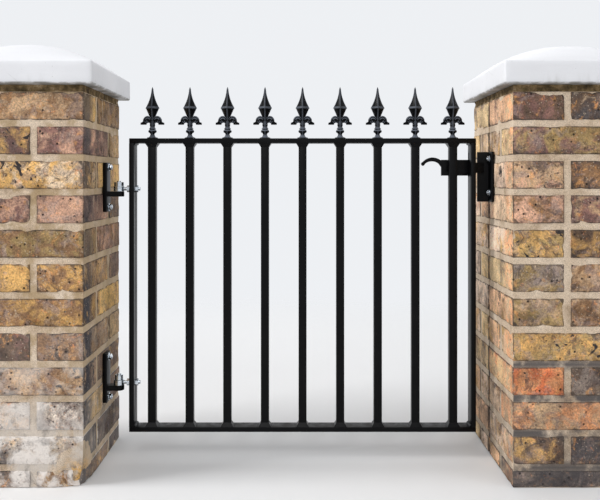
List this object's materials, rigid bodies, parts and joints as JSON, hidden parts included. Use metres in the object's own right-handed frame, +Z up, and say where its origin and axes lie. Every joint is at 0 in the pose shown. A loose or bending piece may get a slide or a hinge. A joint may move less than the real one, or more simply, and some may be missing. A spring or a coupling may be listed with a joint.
{
  "type": "wrought iron gate",
  "caption": "Black barred garden gate with spear and leaf railheads, hung on eye bolts between two brick piers with domed white caps, with a lift latch.",
  "frame": {"origin": "on the ground, midway between the piers and at the middle of the right pier's depth", "axes": "+X across the opening from the hinge pier to the latch pier, +Y from the street into the garden, +Z up"},
  "size_m": [1.71, 0.45, 1.033],
  "materials": {
    "brick": "matte",
    "bed_mortar": "matte",
    "cap_render": "matte",
    "black_paint": "satin",
    "zinc": "satin"
  },
  "bodies": {
    "posts": {"left_pier": "brick", "right_pier": "brick", "left_cap_bedding": "bed_mortar", "right_cap_bedding": "bed_mortar", "left_pier_cap": "cap_render", "right_pier_cap": "cap_render", "upper_hinge_bracket": "black_paint", "lower_hinge_bracket": "black_paint", "upper_hinge_pin": "zinc", "lower_hinge_pin": "zinc", "latch_keep": "black_paint"},
    "gate": {"top_rail": "black_paint", "bottom_rail": "black_paint", "hinge_stile": "black_paint", "latch_stile": "black_paint", "bar_1": "black_paint", "bar_2": "black_paint", "bar_3": "black_paint", "bar_4": "black_paint", "bar_5": "black_paint", "bar_6": "black_paint", "bar_7": "black_paint", "bar_8": "black_paint", "bar_9": "black_paint", "upper_weld_collars": "black_paint", "lower_weld_collars": "black_paint", "finial_1": "black_paint", "finial_2": "black_paint", "finial_3": "black_paint", "finial_4": "black_paint", "finial_5": "black_paint", "finial_6": "black_paint", "finial_7": "black_paint", "finial_8": "black_paint", "finial_9": "black_paint", "upper_eye_bolt": "zinc", "lower_eye_bolt": "zinc", "upper_eye_nuts": "zinc", "lower_eye_nuts": "zinc", "latch_pivot": "black_paint"},
    "latch": {"latch_lever": "black_paint"}
  },
  "joints": [
    {"name": "gate_swing", "type": "hinge", "parent": "posts", "child": "gate", "pos_m": [-0.451, -0.016, 0.4355], "axis": [0, 0, 1], "range_deg": [-90, 0]},
    {"name": "latch_lift", "type": "hinge", "parent": "gate", "child": "latch", "pos_m": [0.3868, -0.001, 0.731], "axis": [0, -1, 0], "range_deg": [0, 15]}
  ]
}
